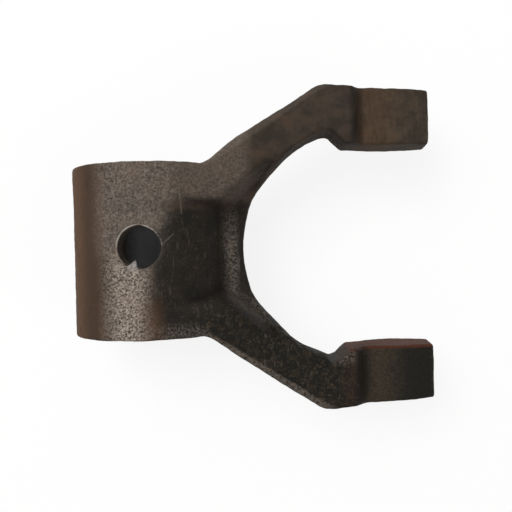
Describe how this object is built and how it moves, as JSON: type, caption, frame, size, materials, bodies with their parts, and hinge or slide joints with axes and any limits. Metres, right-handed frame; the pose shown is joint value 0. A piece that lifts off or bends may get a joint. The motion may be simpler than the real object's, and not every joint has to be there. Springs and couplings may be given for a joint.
{
  "type": "clutch fork",
  "caption": "Cast iron clutch fork: a bored hub with a cross hole for a locking pin, ribbed arms spreading round an open throat, and offset crowned fingers.",
  "frame": {"origin": "on the shaft bore's axis, midway between the hub's end faces", "axes": "+Y along the shaft bore, +X from the shaft to the finger ends, +Z out of the ribbed front face"},
  "size_m": [0.1213, 0.1056, 0.0508],
  "materials": {
    "cast_iron": "dark, oily, pitted cast surface with brown rust"
  },
  "bodies": {
    "root": {"clutch_fork": "cast_iron"}
  },
  "joints": []
}
